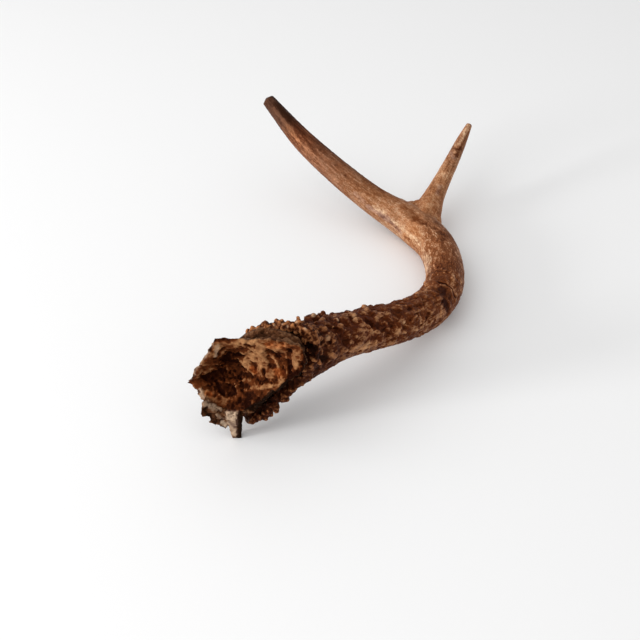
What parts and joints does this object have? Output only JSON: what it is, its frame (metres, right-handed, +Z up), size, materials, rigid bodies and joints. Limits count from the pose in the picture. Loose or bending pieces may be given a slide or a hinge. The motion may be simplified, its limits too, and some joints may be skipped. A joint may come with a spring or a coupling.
{
  "type": "deer antler",
  "caption": "Forked deer antler lying on its side, with a knobbly burr and a broken piece of skull bone at its base.",
  "frame": {"origin": "middle of the bounding box, on the table top that the antler rests on", "axes": "+Z up off the table, +Y along the beam's overall run from the skull bone to the tine tips, +X towards the outside of the bend"},
  "size_m": [0.1806, 0.2846, 0.0698],
  "materials": {
    "knobbly_antler": "dark brown antler, rough and pearled near the burr, worn to tan on its knobs",
    "long_tine_antler": "brown antler with long dark grooves, near black at its blunt tip, low sheen",
    "short_tine_antler": "tan antler, polished pale at its tip",
    "skull_bone": "stained matte bone with a spongy broken face and pale broken edges"
  },
  "bodies": {
    "root": {"beam": "knobbly_antler", "long_tine": "long_tine_antler", "short_tine": "short_tine_antler", "skull_bone": "skull_bone"}
  },
  "joints": []
}
